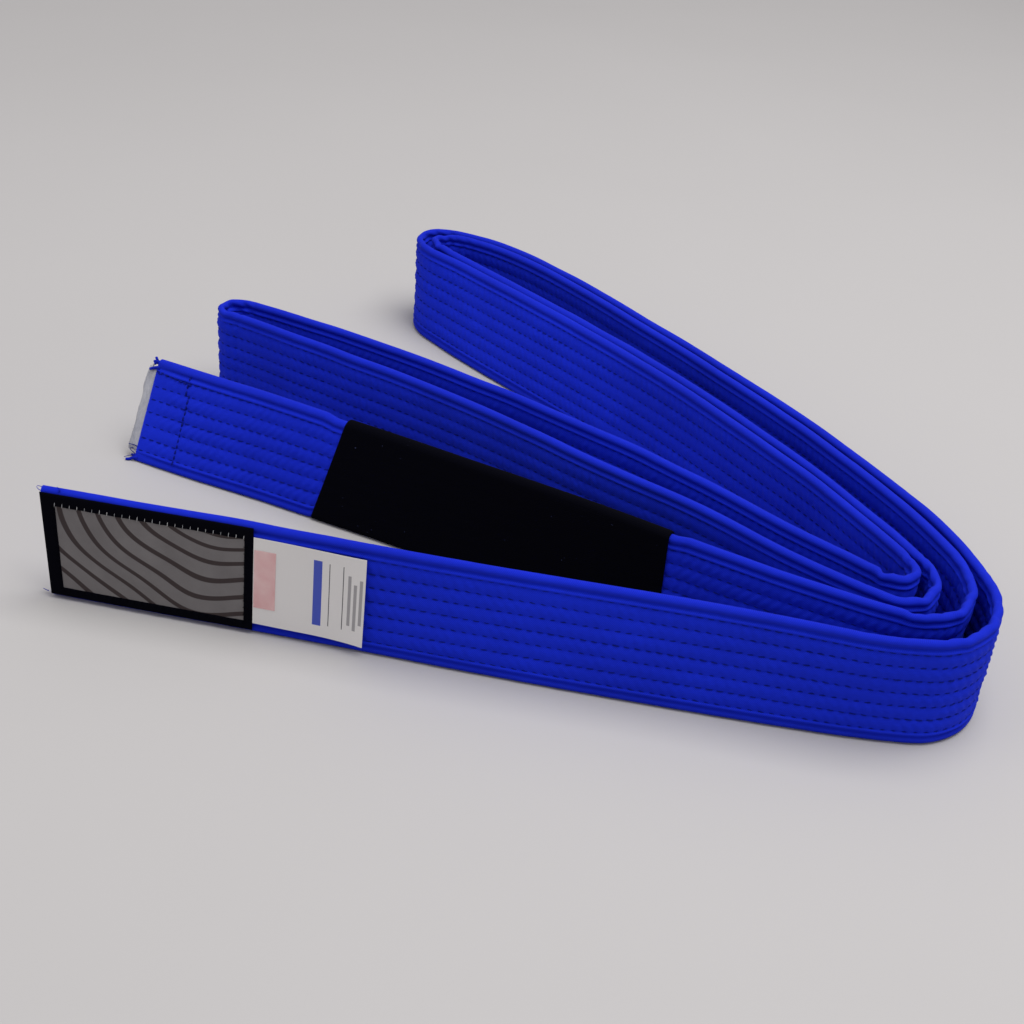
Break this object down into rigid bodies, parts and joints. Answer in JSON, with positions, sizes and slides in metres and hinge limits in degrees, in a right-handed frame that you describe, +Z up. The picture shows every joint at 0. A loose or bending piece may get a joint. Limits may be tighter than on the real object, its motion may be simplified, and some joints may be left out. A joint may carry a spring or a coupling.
{
  "type": "martial arts belt",
  "caption": "Blue cotton martial arts belt with a black rank bar and an end label, folded in half three times and standing on its edge in a fan.",
  "frame": {"origin": "middle of the folded belt's outline, on the floor under it", "axes": "+X along the label run towards the nested folds, +Y away from the label's face, +Z up along the belt's width"},
  "size_m": [0.3311, 0.2846, 0.0415],
  "materials": {
    "blue_cotton": "matte",
    "white_padding": "matte",
    "black_cloth": "matte",
    "grey_woven": "satin",
    "white_satin": "satin",
    "pale_pink_film": "gloss"
  },
  "bodies": {
    "right_fold_stack": {"cover_fold_outer": "blue_cotton", "core_fold_outer": "white_padding", "cover_fold_inner": "blue_cotton", "core_fold_inner": "white_padding", "cover_fold_third": "blue_cotton", "core_fold_third": "white_padding", "cover_fold_second": "blue_cotton", "core_fold_second": "white_padding"},
    "label_run": {"cover_label_run": "blue_cotton", "core_label_run": "white_padding", "label_border": "black_cloth", "label_face": "grey_woven"},
    "bar_run": {"cover_bar_run": "blue_cotton", "core_bar_run": "white_padding", "rank_bar": "black_cloth"},
    "middle_loop": {"cover_middle_back_run": "blue_cotton", "core_middle_back_run": "white_padding", "cover_middle_fold": "blue_cotton", "core_middle_fold": "white_padding", "cover_middle_front_run": "blue_cotton", "core_middle_front_run": "white_padding"},
    "far_loop": {"cover_back_run": "blue_cotton", "core_back_run": "white_padding", "cover_far_fold_outer": "blue_cotton", "core_far_fold_outer": "white_padding", "cover_far_front_run": "blue_cotton", "core_far_front_run": "white_padding", "cover_far_inner_front_run": "blue_cotton", "core_far_inner_front_run": "white_padding", "cover_far_fold_inner": "blue_cotton", "core_far_fold_inner": "white_padding", "cover_far_inner_back_run": "blue_cotton", "core_far_inner_back_run": "white_padding"},
    "care_tag": {"care_tag": "white_satin", "size_sticker": "pale_pink_film"}
  },
  "joints": [
    {"name": "label_run_fold", "type": "hinge", "parent": "right_fold_stack", "child": "label_run", "pos_m": [0.116, -0.1376, 0.02075], "axis": [0, 0, 1], "range_deg": [-6, 60]},
    {"name": "bar_run_fold", "type": "hinge", "parent": "right_fold_stack", "child": "bar_run", "pos_m": [0.121, -0.1186, 0.02075], "axis": [0, 0, 1], "range_deg": [-3, 6]},
    {"name": "middle_loop_fold", "type": "hinge", "parent": "right_fold_stack", "child": "middle_loop", "pos_m": [0.116, -0.0976, 0.02075], "axis": [0, 0, 1], "range_deg": [-6, 4]},
    {"name": "far_loop_fold", "type": "hinge", "parent": "right_fold_stack", "child": "far_loop", "pos_m": [0.142, -0.0766, 0.02075], "axis": [0, 0, 1], "range_deg": [-15, 6]},
    {"name": "care_tag_flap", "type": "hinge", "parent": "label_run", "child": "care_tag", "pos_m": [-0.07788, -0.1404, 0.02095], "axis": [-0.0013, -0.0715, -0.9974], "range_deg": [0, 75]}
  ]
}
